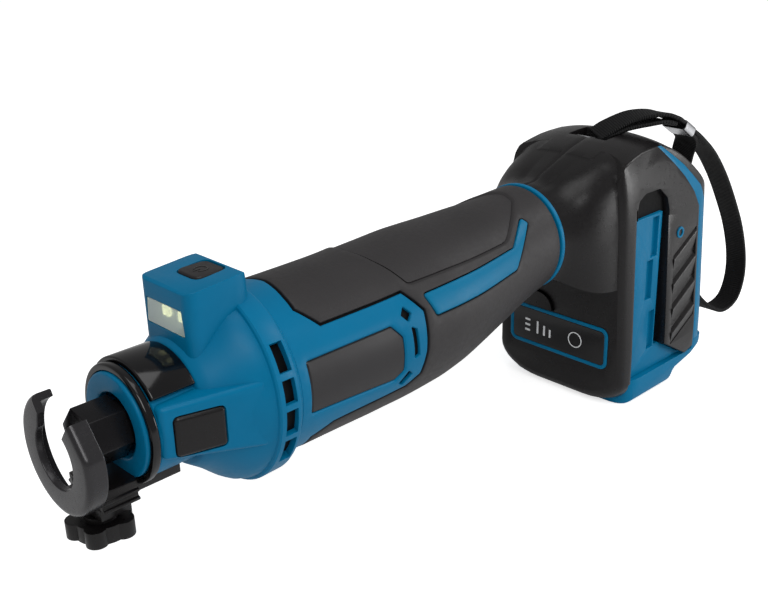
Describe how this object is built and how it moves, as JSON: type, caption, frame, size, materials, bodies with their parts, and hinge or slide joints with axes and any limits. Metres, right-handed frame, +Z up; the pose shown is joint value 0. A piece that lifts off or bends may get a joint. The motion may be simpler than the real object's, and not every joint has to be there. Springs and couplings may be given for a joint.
{
  "type": "drywall cut out tool",
  "caption": "Cordless in-line cut-out tool: collet spindle in a round grip, sliding C-shaped foot and clamp knob, push buttons, wrist strap, and a rear block with a slide-out battery pack.",
  "frame": {"origin": "on the spindle axis, level with the front face of the nose ring", "axes": "+X to the rear along the spindle, +Z up, +Y to the side without the spindle lock button"},
  "size_m": [0.3404, 0.0656, 0.116],
  "materials": {
    "blue_plastic": "satin",
    "trim_plastic": "satin",
    "black_plastic": "satin",
    "gloss_black": "gloss",
    "soft_grip": "fine texture",
    "button_grey": "satin",
    "lens": "clear",
    "steel": "turned",
    "black_steel": "satin",
    "core_steel": "laminated",
    "copper": "wound",
    "circuit": "board",
    "fan_plastic": "satin",
    "cell_wrap": "wrap",
    "webbing": "woven"
  },
  "bodies": {
    "tool": {"nose_ring": "blue_plastic", "nose_bead_ring": "black_plastic", "nose_collar": "gloss_black", "front_housing": "blue_plastic", "led_lens": "lens", "led_board": "circuit", "power_spring": "steel", "power_switch": "black_plastic", "lock_spring": "steel", "bearing_outer_rings": "steel", "stator_core": "core_steel", "stator_windings": "copper", "hall_board": "circuit", "control_board": "circuit", "board_capacitor": "cell_wrap", "handle_shell_left": "blue_plastic", "handle_shell_right": "blue_plastic", "grip_left": "soft_grip", "grip_right": "soft_grip", "window_left": "gloss_black", "window_right": "gloss_black", "trim_left": "trim_plastic", "trim_right": "trim_plastic", "neck_ring": "blue_plastic", "handle_screws": "steel", "rear_shell_left": "black_plastic", "rear_shell_right": "black_plastic", "side_grips": "black_plastic", "boss_rings": "blue_plastic", "boss_screws": "steel", "rear_band": "blue_plastic", "rear_cover": "black_plastic", "charge_bezel": "blue_plastic", "charge_panel": "gloss_black", "latch_pin": "steel", "terminal_block": "black_plastic", "terminal_blades": "copper", "depth_bracket": "black_plastic", "wrist_strap": "webbing", "strap_hardware": "steel"},
    "spindle_group": {"spindle": "steel", "collet": "steel", "collet_nut": "black_steel", "lock_collar": "steel", "cooling_fan": "fan_plastic", "rotor_core": "core_steel", "rotor_magnets": "core_steel", "bearing_inner_rings": "steel", "bearing_balls_set": "steel"},
    "power_cap": {"power_button": "button_grey"},
    "lock_group": {"lock_button": "black_plastic", "lock_pin": "steel"},
    "battery_pack": {"battery_case": "blue_plastic", "battery_base": "blue_plastic", "battery_cells": "cell_wrap", "cell_holder": "black_plastic", "battery_board": "circuit"},
    "latch": {"latch_tab": "black_plastic"},
    "depth_guide": {"depth_foot": "black_steel"},
    "clamp": {"clamp_knob": "black_plastic"}
  },
  "joints": [
    {"name": "spindle_spin", "type": "hinge", "parent": "tool", "child": "spindle_group", "pos_m": [0, 0, 0], "axis": [1, 0, 0], "continuous": true},
    {"name": "power_press", "type": "slide", "parent": "tool", "child": "power_cap", "axis": [0, 0, -1], "range_m": [0, 0.0015], "stiffness_N_per_m": 900, "springref_m": -0.001, "deforming": ["power_spring"]},
    {"name": "lock_press", "type": "slide", "parent": "tool", "child": "lock_group", "axis": [0, 1, 0], "range_m": [0, 0.0024], "stiffness_N_per_m": 900, "springref_m": -0.001, "deforming": ["lock_spring"]},
    {"name": "battery_slide", "type": "slide", "parent": "tool", "child": "battery_pack", "axis": [0, 0, -1], "range_m": [0, 0.1]},
    {"name": "latch_rock", "type": "hinge", "parent": "tool", "child": "latch", "pos_m": [0.2116, 0.01, -0.031], "axis": [0, 1, 0], "range_deg": [0, 6], "stiffness_Nm_per_rad": 0.3, "springref_deg": -5.73},
    {"name": "depth_slide", "type": "slide", "parent": "tool", "child": "depth_guide", "axis": [1, 0, 0], "range_m": [-0.014, 0.0012]},
    {"name": "clamp_turn", "type": "hinge", "parent": "tool", "child": "clamp", "pos_m": [-0.0082, 0, -0.0285], "axis": [0, 0, 1], "range_deg": [-180, 180]}
  ]
}
